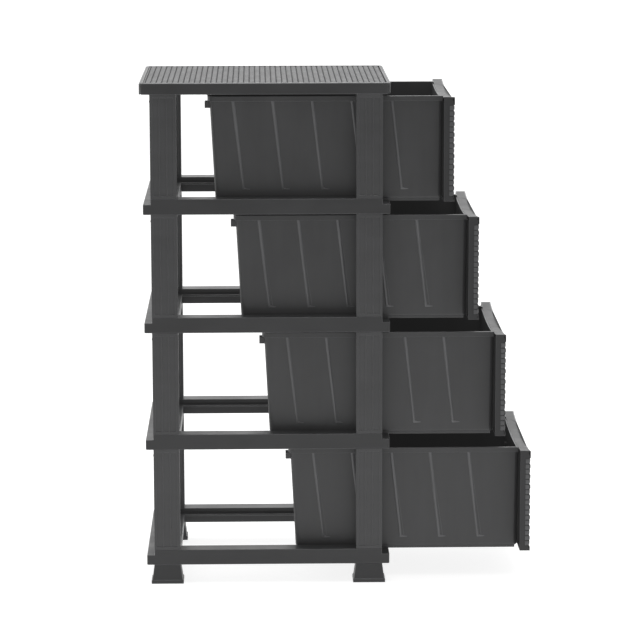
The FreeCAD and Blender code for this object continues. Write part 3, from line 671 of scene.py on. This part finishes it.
def weave_tree():
    """A sheet of strands along X that pass over and under hidden stakes along Y."""
    tree, given = new_tree("moulded_weave", WEAVE_SOCKETS)
    grid = tree.nodes.new("GeometryNodeMeshGrid")
    feed(tree, given["Length"], grid.inputs["Size X"])
    feed(tree, given["Width"], grid.inputs["Size Y"])
    along = calc(tree, "MULTIPLY", calc(tree, "DIVIDE", given["Length"], given["Stake pitch"]), 8)
    across = calc(tree, "MULTIPLY", calc(tree, "DIVIDE", given["Width"], given["Strand pitch"]), 10)
    feed(tree, calc(tree, "CEIL", along), grid.inputs["Vertices X"])
    feed(tree, calc(tree, "CEIL", across), grid.inputs["Vertices Y"])

    x, y = place_parts(tree)
    half_length = calc(tree, "MULTIPLY", given["Length"], 0.5)
    half_width = calc(tree, "MULTIPLY", given["Width"], 0.5)
    rise = calc(tree, "ADD", y, half_width)

    from_first = calc(tree, "SUBTRACT", rise, given["Start"])
    strand_count = calc(tree, "DIVIDE", from_first, given["Strand pitch"])
    strand = calc(tree, "FLOOR", strand_count)
    off_middle = calc(tree, "SUBTRACT", calc(tree, "FRACT", strand_count), 0.5)
    middle = calc(tree, "ABSOLUTE", off_middle)
    from_side = calc(tree, "MULTIPLY", calc(tree, "SUBTRACT", 0.5, middle), given["Strand pitch"])
    shoulder = calc(tree, "MULTIPLY", given["Furrow"], 1.5)
    crown = spread(tree, from_side, 0, shoulder, 0, 1, smooth=True)

    stake_count = calc(tree, "DIVIDE", x, given["Stake pitch"])
    phase = calc(tree, "MULTIPLY", calc(tree, "ADD", stake_count, strand), math.pi)
    swing = calc(tree, "COSINE", phase)
    over = spread(tree, swing, -1, -0.2, 0, 1, smooth=True)
    nearest = calc(tree, "FRACT", calc(tree, "ADD", stake_count, 0.5))
    nearest = calc(tree, "SUBTRACT", nearest, 0.5)
    from_stake = calc(tree, "ABSOLUTE", nearest)
    stake = spread(tree, from_stake, 0.12, 0.3, 0.62, 0, smooth=True)
    from_end = calc(tree, "SUBTRACT", half_length, calc(tree, "ABSOLUTE", x))
    half_stake = calc(tree, "MULTIPLY", given["Stake pitch"], 0.5)
    stake = calc(tree, "MULTIPLY", stake, calc(tree, "GREATER_THAN", from_end, half_stake))
    under = spread(tree, swing, -0.2, -0.8, 0, 1)

    brick = calc(tree, "ADD", calc(tree, "ADD", stake_count, strand), 1)
    brick = calc(tree, "FLOOR", calc(tree, "DIVIDE", brick, 2))
    identity = calc(tree, "ADD", calc(tree, "MULTIPLY", strand, 97), brick)
    random = tree.nodes.new("FunctionNodeRandomValue")
    random.data_type = "FLOAT"
    feed(tree, identity, random.inputs["ID"])
    feed(tree, given["Seed"], random.inputs["Seed"])
    tone = random.outputs["Value"]

    lift = spread(tree, over, 0, 1, 0.15, 1)
    weft = calc(tree, "MULTIPLY", crown, lift)
    warp = calc(tree, "MULTIPLY", stake, under)
    warp = calc(tree, "MULTIPLY", warp, spread(tree, crown, 0, 0.6, 0.5, 1))
    height = calc(tree, "MAXIMUM", weft, warp)
    height = calc(tree, "MULTIPLY", height, spread(tree, tone, 0, 1, 0.9, 1))
    for place, half in ((x, half_length), (y, half_width)):
        inward = calc(tree, "SUBTRACT", half, calc(tree, "ABSOLUTE", place))
        begin = calc(tree, "SUBTRACT", given["Margin"], given["Furrow"])
        height = calc(tree, "MULTIPLY", height, spread(tree, inward, begin, given["Margin"], 0, 1))

    shift = vector_of(tree, 0, 0, calc(tree, "MULTIPLY", height, given["Relief"]))
    raised = tree.nodes.new("GeometryNodeSetPosition")
    tree.links.new(grid.outputs["Mesh"], raised.inputs["Geometry"])
    feed(tree, shift, raised.inputs["Offset"])
    flow = raised.outputs["Geometry"]
    flow = keep_attribute(tree, flow, "weave_relief", height)
    flow = keep_attribute(tree, flow, "weave_tone", tone)

    share = calc(tree, "DIVIDE", x, half_length)
    arch = calc(tree, "SUBTRACT", 1, calc(tree, "MULTIPLY", share, share))
    dip = calc(tree, "MULTIPLY", given["Scoop"], arch)
    limit = calc(tree, "SUBTRACT", half_width, dip)
    cut = tree.nodes.new("GeometryNodeDeleteGeometry")
    tree.links.new(flow, cut.inputs["Geometry"])
    beyond = calc(tree, "GREATER_THAN", y, calc(tree, "ADD", limit, 0.00001))
    tree.links.new(beyond, cut.inputs["Selection"])

    neighbours = tree.nodes.new("GeometryNodeInputMeshEdgeNeighbors")
    rim = calc(tree, "LESS_THAN", neighbours.outputs["Face Count"], 1.5)
    skirt = tree.nodes.new("GeometryNodeExtrudeMesh")
    skirt.mode = "EDGES"
    down = vector_of(tree, 0, 0, calc(tree, "MULTIPLY", given["Skirt"], -1))
    tree.links.new(cut.outputs["Geometry"], skirt.inputs["Mesh"])
    tree.links.new(rim, skirt.inputs["Selection"])
    feed(tree, down, skirt.inputs["Offset"])

    smooth = tree.nodes.new("GeometryNodeSetShadeSmooth")
    tree.links.new(skirt.outputs["Mesh"], smooth.inputs["Geometry"])
    sheet = turned(tree, smooth.outputs["Geometry"], given["Place"], given["Turn"])
    end_tree(tree, sheet, given["Material"])
    return tree


def keep_attribute(tree, geometry, name, value):
    """Stores a number on every point under a name that the material reads."""
    node = tree.nodes.new("GeometryNodeStoreNamedAttribute")
    node.data_type = "FLOAT"
    node.domain = "POINT"
    node.inputs["Name"].default_value = name
    tree.links.new(geometry, node.inputs["Geometry"])
    feed(tree, value, node.inputs["Value"])
    return node.outputs["Geometry"]


def woven_sheet(name, body, slot, **values):
    """A piece of weave from the tree, made a plain mesh."""
    tree = bpy.data.node_groups.get("moulded_weave") or weave_tree()
    weave = bpy.context.scene.tower_weave
    values |= {
        "Stake pitch": weave.stake_pitch,
        "Furrow": weave.furrow,
        "Seed": weave.seed,
        "Material": bpy.data.materials["woven_satin"],
    }
    return grown(tree, name, body, values)


RIB_SOCKETS = (
    ("Count", "NodeSocketInt"),
    ("Pitch", "NodeSocketFloat"),
    ("Rise", "NodeSocketFloat"),
    ("Lean", "NodeSocketFloat"),
    ("Width", "NodeSocketFloat"),
    ("Height", "NodeSocketFloat"),
    ("Hook", "NodeSocketFloat"),
    ("Side", "NodeSocketFloat"),
    ("Place", "NodeSocketVector"),
    ("Turn", "NodeSocketRotation"),
    ("Material", "NodeSocketMaterial"),
)


def rib_tree():
    """A row of slanted soft ribs along X with their feet on Y = 0, each with a thin toe."""
    tree, given = new_tree("pressed_ribs", RIB_SOCKETS)
    border = calc(tree, "MULTIPLY", given["Width"], 0.75)
    span = calc(tree, "ADD", given["Lean"], given["Hook"])
    span = calc(tree, "ADD", span, calc(tree, "MULTIPLY", border, 2))
    grid = tree.nodes.new("GeometryNodeMeshGrid")
    feed(tree, span, grid.inputs["Size X"])
    feed(tree, calc(tree, "ADD", given["Rise"], border), grid.inputs["Size Y"])
    grid.inputs["Vertices X"].default_value = 80
    grid.inputs["Vertices Y"].default_value = 120
    across, up = place_parts(tree)
    half_span = calc(tree, "MULTIPLY", span, 0.5)
    across = calc(tree, "ADD", across, calc(tree, "SUBTRACT", half_span, border))
    half_rise = calc(tree, "MULTIPLY", calc(tree, "SUBTRACT", given["Rise"], border), 0.5)
    up = calc(tree, "ADD", up, half_rise)

    share = calc(tree, "DIVIDE", up, given["Rise"])
    middle = calc(tree, "MULTIPLY", calc(tree, "SUBTRACT", 1, share), given["Lean"])
    half = calc(tree, "MULTIPLY", given["Width"], spread(tree, share, 0, 1, 0.42, 0.55))
    aside = calc(tree, "ABSOLUTE", calc(tree, "SUBTRACT", across, middle))
    rib = soft_ridge(tree, calc(tree, "DIVIDE", aside, half))
    below_foot = calc(tree, "MULTIPLY", border, -0.3)
    rib = calc(tree, "MULTIPLY", rib, spread(tree, up, below_foot, border, 0, 1))

    along = calc(tree, "DIVIDE", calc(tree, "SUBTRACT", across, given["Lean"]), given["Hook"])
    thin = calc(tree, "MULTIPLY", given["Width"], spread(tree, along, 0, 1, 0.34, 0.1))
    above = calc(tree, "ABSOLUTE", calc(tree, "SUBTRACT", up, calc(tree, "MULTIPLY", thin, 0.8)))
    toe = soft_ridge(tree, calc(tree, "DIVIDE", above, thin))
    toe = calc(tree, "MULTIPLY", toe, spread(tree, along, -0.1, 0.05, 0, 1))
    toe = calc(tree, "MULTIPLY", toe, spread(tree, along, 0.1, 1, 0.9, 0))

    height = calc(tree, "MAXIMUM", rib, toe)
    sunk = calc(tree, "MULTIPLY", given["Height"], 0.15)
    lift = calc(tree, "MULTIPLY", height, calc(tree, "ADD", given["Height"], sunk))
    lift = calc(tree, "SUBTRACT", lift, sunk)
    kept = tree.nodes.new("GeometryNodeDeleteGeometry")
    kept.domain = "FACE"
    tree.links.new(grid.outputs["Mesh"], kept.inputs["Geometry"])
    feed(tree, calc(tree, "LESS_THAN", height, 0.001), kept.inputs["Selection"])
    shaped = tree.nodes.new("GeometryNodeSetPosition")
    tree.links.new(kept.outputs["Geometry"], shaped.inputs["Geometry"])
    handed = calc(tree, "MULTIPLY", across, given["Side"])
    feed(tree, vector_of(tree, handed, up, lift), shaped.inputs["Position"])
    facing = tree.nodes.new("GeometryNodeFlipFaces")
    tree.links.new(shaped.outputs["Geometry"], facing.inputs["Mesh"])
    feed(tree, calc(tree, "LESS_THAN", given["Side"], 0), facing.inputs["Selection"])
    smooth = tree.nodes.new("GeometryNodeSetShadeSmooth")
    tree.links.new(facing.outputs["Mesh"], smooth.inputs["Geometry"])

    row = tree.nodes.new("GeometryNodeMeshLine")
    feed(tree, given["Count"], row.inputs["Count"])
    step = calc(tree, "MULTIPLY", calc(tree, "MULTIPLY", given["Pitch"], -1), given["Side"])
    feed(tree, vector_of(tree, step, 0, 0), row.inputs["Offset"])
    copies = tree.nodes.new("GeometryNodeInstanceOnPoints")
    tree.links.new(row.outputs["Mesh"], copies.inputs["Points"])
    tree.links.new(smooth.outputs["Geometry"], copies.inputs["Instance"])
    ribs = turned(tree, copies.outputs["Instances"], given["Place"], given["Turn"])
    end_tree(tree, ribs, given["Material"])
    return tree


def soft_ridge(tree, aside):
    """A rounded ridge, full at 0 and gone at 1."""
    return spread(tree, aside, 0.25, 1, 1, 0, smooth=True)


END_SOCKETS = (
    ("Count", "NodeSocketInt"),
    ("Pitch", "NodeSocketFloat"),
    ("Reach", "NodeSocketFloat"),
    ("Size", "NodeSocketVector"),
    ("Place", "NodeSocketVector"),
    ("Material", "NodeSocketMaterial"),
)


def row_end_tree():
    """The ends of woven rows, wrapped round both sides of a front: two columns of small pads."""
    tree, given = new_tree("row_ends", END_SOCKETS)
    pad = tree.nodes.new("GeometryNodeMeshCube")
    feed(tree, given["Size"], pad.inputs["Size"])
    column = tree.nodes.new("GeometryNodeMeshLine")
    feed(tree, given["Count"], column.inputs["Count"])
    feed(tree, vector_of(tree, 0, 0, given["Pitch"]), column.inputs["Offset"])
    sides = tree.nodes.new("GeometryNodeMeshLine")
    sides.inputs["Count"].default_value = 2
    left = calc(tree, "MULTIPLY", given["Reach"], -1)
    feed(tree, vector_of(tree, left, 0, 0), sides.inputs["Start Location"])
    apart = calc(tree, "MULTIPLY", given["Reach"], 2)
    feed(tree, vector_of(tree, apart, 0, 0), sides.inputs["Offset"])
    flow = pad.outputs["Mesh"]
    for points in (column, sides):
        copies = tree.nodes.new("GeometryNodeInstanceOnPoints")
        tree.links.new(points.outputs["Mesh"], copies.inputs["Points"])
        tree.links.new(flow, copies.inputs["Instance"])
        flow = copies.outputs["Instances"]
    end_tree(tree, turned(tree, flow, given["Place"], (0, 0, 0)), given["Material"])
    return tree


# The pieces


class TOWER_OT_plastics(bpy.types.Operator):
    """Mixes the plastics of the frame, the drawers and the weave."""

    bl_idname = "tower.plastics"
    bl_label = "Plastics"

    def execute(self, context):
        plastics = context.scene.tower_plastics
        frame_colour, drawer_colour = plastics.frame_colour, plastics.drawer_colour
        across, upward = (1, 0.2, 1), (1, 1, 0.15)
        # Each kind takes its colour scaled by its lift: posts and bins are painted lighter, shelves,
        # feet and fronts darker, painted light and shade for how much light each kind catches; the
        # ribs' lift of 3.0 is a painted highlight.
        for kind, colour, flow, lift, sheen in (
            ("post", frame_colour, across, 1.4, 0.52),
            ("shelf", frame_colour, across, 0.9, 0.42),
            ("bin", drawer_colour, upward, 1.1, 0.5),
            ("rib", drawer_colour, upward, 3.0, 0.6),
            ("front", drawer_colour, upward, 0.7, 0.36),
        ):
            moulded_plastic(f"{kind}_satin", colour, plastics.gloss, flow, lift, sheen)
            # The edge copy scales the colour by 2.2: a painted highlight on every rounded edge.
            moulded_plastic(f"{kind}_satin_edge", colour, plastics.gloss - 0.1, flow, 2.2, 0.5)
        woven_plastic("woven_satin", frame_colour, plastics.gloss)
        return {"FINISHED"}


def plastics_of(kind):
    """The materials of a kind of piece: its faces, and a lighter, glossier copy for its rounded
    edges whose lighter colour is a painted highlight.
    """
    return [bpy.data.materials[f"{kind}_satin"], bpy.data.materials[f"{kind}_satin_edge"]]


class TOWER_OT_shelf_frames(bpy.types.Operator):
    """Rounds the open shelf frames."""

    bl_idname = "tower.shelf_frames"
    bl_label = "Shelf frames"

    def execute(self, context):
        sizes = context.scene.tower_mouldings
        for tier in TIERS:
            node = f"shelf_frame_{tier}"
            moulded(node, "frame", plastics_of("shelf"), sizes.edge_round)
        return {"FINISHED"}


class TOWER_OT_posts(bpy.types.Operator):
    """Rounds the fluted posts."""

    bl_idname = "tower.posts"
    bl_label = "Posts"

    def execute(self, context):
        sizes = context.scene.tower_mouldings
        for tier in TIERS:
            for end in ENDS:
                for side in SIDES:
                    node = f"post_{tier}_{end}_{side}"
                    moulded(node, "frame", plastics_of("post"), sizes.fine_round)
        return {"FINISHED"}


class TOWER_OT_feet(bpy.types.Operator):
    """Rounds the flared feet."""

    bl_idname = "tower.feet"
    bl_label = "Feet"

    def execute(self, context):
        sizes = context.scene.tower_mouldings
        for end in ENDS:
            for side in SIDES:
                node = f"foot_{end}_{side}"
                moulded(node, "frame", plastics_of("shelf"), sizes.edge_round)
        return {"FINISHED"}


class TOWER_OT_top_panel(bpy.types.Operator):
    """Rounds the top and lays its weave inside the plain edge."""

    bl_idname = "tower.top_panel"
    bl_label = "Top panel"

    def execute(self, context):
        sizes, weave = context.scene.tower_mouldings, context.scene.tower_weave
        low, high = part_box("top_panel")
        border = sizes.top_border
        level = high.z - sizes.top_relief
        floor = level - sizes.top_sink

        def in_field(place, rim=0.0):
            reach = border + rim
            across = low.x + reach < place.x < high.x - reach
            return across and low.y + reach < place.y < high.y - reach

        bm = cad_mesh("top_panel", flat_faces_joined=False)
        take_off(bm, level, Vector((0, 0, 1)), in_field)
        join_flat_faces(bm)
        for vertex in bm.verts:
            if abs(vertex.co.z - level) < SAME_LEVEL and in_field(vertex.co, -0.0001):
                vertex.co.z = floor
        shell = finish_piece(
            bm,
            "top_panel_moulded",
            "frame",
            plastics_of("shelf"),
            sizes.edge_round,
            sizes.top_round,
            lambda place: place.z > level and not in_field(place, -0.001),
        )
        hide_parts("top_panel")
        woven_sheet(
            "top_panel_weave",
            "frame",
            "frame_plastic",
            **{
                "Length": high.x - low.x - 2 * border,
                "Width": high.y - low.y - 2 * border,
                "Relief": high.z - floor - 0.0001,
                "Margin": weave.furrow,
                "Start": weave.furrow,
                "Strand pitch": weave.strand_pitch,
                "Scoop": 0.0,
                "Skirt": sizes.top_relief / 2,
                "Place": ((low.x + high.x) / 2, (low.y + high.y) / 2, floor + TUCKED),
                "Turn": (0.0, 0.0, 0.0),
            },
        )
        return {"FINISHED"}


class TOWER_OT_drawer_bins(bpy.types.Operator):
    """Rounds the drawers' bins and presses soft ribs into their sides."""

    bl_idname = "tower.drawer_bins"
    bl_label = "Drawer bins"

    def execute(self, context):
        sizes, ribs = context.scene.tower_mouldings, context.scene.tower_ribs
        tree = rib_tree()
        slant = math.atan2(ribs.wall_run, ribs.wall_rise)
        for tier in TIERS:
            node, body = f"drawer_bin_{tier}", f"drawer_{tier}"
            low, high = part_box(f"drawer_front_{tier}")
            back = low.y + sizes.front_depth
            bm = cad_mesh(node, flat_faces_joined=False)
            for sign in (-1, 1):
                outward = Vector((sign * math.cos(slant), 0, -math.sin(slant)))
                wall = Vector((sign * ribs.wall_half, 0, low.z))
                ceiling = low.z + ribs.top
                take_off(bm, wall.dot(outward), outward, lambda place: place.z < ceiling)
            shell = finish_piece(
                bm, f"{node}_moulded", body, plastics_of("bin"), sizes.fine_round
            )
            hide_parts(node)
            for side, sign in (("left", -1), ("right", 1)):
                at_foot = ribs.wall_half + math.tan(slant) * ribs.foot
                place = (sign * at_foot, back + ribs.first, low.z + ribs.foot)
                grown(
                    tree,
                    f"{node}_ribs_{side}",
                    body,
                    {
                        "Count": ribs.count,
                        "Pitch": ribs.pitch,
                        "Rise": ribs.top - ribs.foot,
                        "Lean": ribs.lean,
                        "Width": ribs.width,
                        "Height": ribs.height,
                        "Hook": ribs.hook,
                        "Side": float(-sign),
                        "Place": place,
                        "Turn": (math.pi / 2 + slant, 0.0, sign * math.pi / 2),
                        # The rib plastic is the bin colour lifted threefold: a painted highlight
                        # along each rib.
                        "Material": bpy.data.materials["rib_satin"],
                    },
                )
        return {"FINISHED"}


class TOWER_OT_drawer_fronts(bpy.types.Operator):
    """Rounds the drawers' fronts and lays their weave between the plain bands."""

    bl_idname = "tower.drawer_fronts"
    bl_label = "Drawer fronts"

    def execute(self, context):
        sizes, weave = context.scene.tower_mouldings, context.scene.tower_weave
        ends = row_end_tree()
        for tier in TIERS:
            node, body = f"drawer_front_{tier}", f"drawer_{tier}"
            low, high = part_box(node)
            level = low.y + sizes.front_relief
            bottom = low.z + sizes.front_border
            top = high.z - sizes.front_border
            band = top - sizes.scoop - 0.00015
            half = (high.x - low.x) / 2

            def in_field(place):
                return bottom + 0.0001 < place.z < band

            def on_lip(place):
                dip = sizes.scoop * (1 - (place.x / half) ** 2)
                return place.y < low.y + 0.0005 and place.z > high.z - dip - 0.001

            bm = cad_mesh(node, flat_faces_joined=False)
            take_off(bm, -level, Vector((0, -1, 0)), in_field)
            join_flat_faces(bm)
            shell = finish_piece(
                bm,
                f"{node}_moulded",
                body,
                plastics_of("front"),
                sizes.fine_round,
                sizes.mouth_round,
                on_lip,
            )
            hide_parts(node)
            tuck = sizes.front_border / 2
            width = top - bottom + 2 * tuck
            place = ((low.x + high.x) / 2, level - TUCKED, bottom - tuck + width / 2)
            raised = low.z + weave.first_row - weave.furrow / 2
            start = raised - (bottom - tuck) - 2 * weave.row_pitch
            woven_sheet(
                f"{node}_weave",
                body,
                "drawer_plastic",
                **{
                    "Length": high.x - low.x,
                    "Width": width,
                    "Relief": sizes.front_relief - 0.0002,
                    "Margin": 0.0,
                    "Start": start,
                    "Strand pitch": weave.row_pitch,
                    "Scoop": sizes.scoop,
                    "Skirt": sizes.front_relief,
                    "Place": place,
                    "Turn": (math.pi / 2, 0.0, 0.0),
                },
            )
            first = raised - weave.row_pitch / 2
            rows = math.floor((band - first) / weave.row_pitch) + 1
            grown(
                ends,
                f"{node}_row_ends",
                body,
                {
                    "Count": rows,
                    "Pitch": weave.row_pitch,
                    "Reach": half,
                    "Size": (2 * sizes.wrap_rise, sizes.wrap_reach, weave.row_pitch - weave.furrow),
                    "Place": ((low.x + high.x) / 2, level + sizes.wrap_reach / 2, first),
                    # The pads wear the front's lighter edge copy: a painted highlight on each row
                    # end.
                    "Material": bpy.data.materials["front_satin_edge"],
                },
                sizes.wrap_rise * 0.8,
            )
        return {"FINISHED"}


class TOWER_OT_studio(bpy.types.Operator):
    """Sets up the floor, the white surround, the soft lights and the camera."""

    bl_idname = "tower.studio"
    bl_label = "Studio"

    def execute(self, context):
        studio = context.scene.tower_studio
        context.scene.view_settings.view_transform = "Standard"
        make_floor()
        lift_blacks(context.scene.view_settings, studio.veil)
        make_surround(studio.near_surround, studio.far_surround)
        add_softbox("overhead_softbox", (0.3, -0.2, 3.2), (0, 0, 0.4), 2.4, studio.softbox)
        add_camera(studio)
        return {"FINISHED"}


def make_floor():
    """A white floor that runs out of sight; it glows, less towards the camera, so it lights the
    tower from below and fades the tower's shadow on it.
    """
    bm = bmesh.new()
    bmesh.ops.create_grid(bm, x_segments=4, y_segments=4, size=60)
    mesh = bpy.data.meshes.new("studio_floor")
    bm.to_mesh(mesh)
    bm.free()
    material, tree, shader = new_material("studio_paper")
    mottle = object_noise(tree, 2.5, 3)
    feed(tree, shade(tree, (0.3, 0.3, 0.3), mottle, 0.985, 1.0), shader.inputs["Base Color"])
    shader.inputs["Roughness"].default_value = 0.9
    # The paper glows though it is no lamp: painted light that whitens it and fades the shadows cast
    # on it.
    shader.inputs["Emission Color"].default_value = (1, 1, 1, 1)
    place = tree.nodes.new("ShaderNodeTexCoord")
    parts = tree.nodes.new("ShaderNodeSeparateXYZ")
    tree.links.new(place.outputs["Object"], parts.inputs["Vector"])
    glow = spread(tree, parts.outputs["X"], -3.4, -0.9, 0.32, 0.85, smooth=True)
    feed(tree, glow, shader.inputs["Emission Strength"])
    mesh.materials.append(material)
    floor = bpy.data.objects.new("studio_floor", mesh)
    bpy.context.scene.collection.objects.link(floor)


def make_surround(near, far):
    """A white surround that is brighter behind the tower than behind the camera."""
    world = bpy.data.worlds.new("white_surround")
    world.use_nodes = True
    tree = world.node_tree
    place = tree.nodes.new("ShaderNodeTexCoord")
    parts = tree.nodes.new("ShaderNodeSeparateXYZ")
    tree.links.new(place.outputs["Generated"], parts.inputs["Vector"])
    strength = spread(tree, parts.outputs["X"], -0.5, 0.4, near, far, smooth=True)
    background = tree.nodes["Background"]
    background.inputs["Color"].default_value = (1, 1, 1, 1)
    feed(tree, strength, background.inputs["Strength"])
    bpy.context.scene.world = world


def lift_blacks(settings, amount):
    """The faint veil that a white studio throws into the lens."""
    settings.use_curve_mapping = True
    settings.curve_mapping.black_level = (-amount, -amount, -amount)
    settings.curve_mapping.update()


def add_softbox(name, place, aim, size, power):
    """A square area light that looks at a point."""
    light = bpy.data.lights.new(name, "AREA")
    light.size = size
    light.energy = power
    lamp = bpy.data.objects.new(name, light)
    direction = Vector(aim) - Vector(place)
    turn = direction.to_track_quat("-Z", "Y").to_matrix().to_4x4()
    lamp.matrix_world = Matrix.Translation(place) @ turn
    bpy.context.scene.collection.objects.link(lamp)


def add_camera(studio):
    """The camera at the photograph's place, with its yaw, pitch and roll."""
    data = bpy.data.cameras.new("photo_camera")
    data.sensor_width = 36
    data.lens = studio.lens
    data.clip_end = 60
    camera = bpy.data.objects.new("photo_camera", data)
    level = math.cos(studio.pitch)
    forward = Vector(
        (math.cos(studio.yaw) * level, math.sin(studio.yaw) * level, -math.sin(studio.pitch))
    )
    turn = forward.to_track_quat("-Z", "Y").to_matrix().to_4x4()
    roll = Matrix.Rotation(-studio.roll, 4, "Z")
    camera.matrix_world = Matrix.Translation(studio.camera_place) @ turn @ roll
    bpy.context.scene.collection.objects.link(camera)
    bpy.context.scene.camera = camera


PIECES = (
    TOWER_OT_plastics,
    TOWER_OT_shelf_frames,
    TOWER_OT_posts,
    TOWER_OT_feet,
    TOWER_OT_top_panel,
    TOWER_OT_drawer_bins,
    TOWER_OT_drawer_fronts,
    TOWER_OT_studio,
)
SETTINGS = {
    "tower_mouldings": TowerMouldings,
    "tower_weave": TowerWeave,
    "tower_ribs": TowerRibs,
    "tower_plastics": TowerPlastics,
    "tower_studio": TowerStudio,
}


class TOWER_PT_sidebar(bpy.types.Panel):
    """Lists the tower's sizes, colours and pieces."""

    bl_idname = "TOWER_PT_sidebar"
    bl_label = "Woven drawer tower"
    bl_space_type = "VIEW_3D"
    bl_region_type = "UI"
    bl_category = "Drawer Tower"

    def draw(self, context):
        for name, group in SETTINGS.items():
            box = self.layout.box()
            box.label(text=group.__doc__)
            for setting in group.__annotations__:
                box.prop(getattr(context.scene, name), setting)
        for piece in PIECES:
            self.layout.operator(piece.bl_idname)


def register():
    for name, group in SETTINGS.items():
        bpy.utils.register_class(group)
        setattr(bpy.types.Scene, name, PointerProperty(type=group))
    for item in (*PIECES, TOWER_PT_sidebar):
        bpy.utils.register_class(item)


def unregister():
    for item in (TOWER_PT_sidebar, *reversed(PIECES)):
        bpy.utils.unregister_class(item)
    for name, group in SETTINGS.items():
        delattr(bpy.types.Scene, name)
        bpy.utils.unregister_class(group)


def main():
    register()
    for piece in PIECES:
        family, operation = piece.bl_idname.split(".")
        getattr(getattr(bpy.ops, family), operation)()


if __name__ == "__main__":
    main()
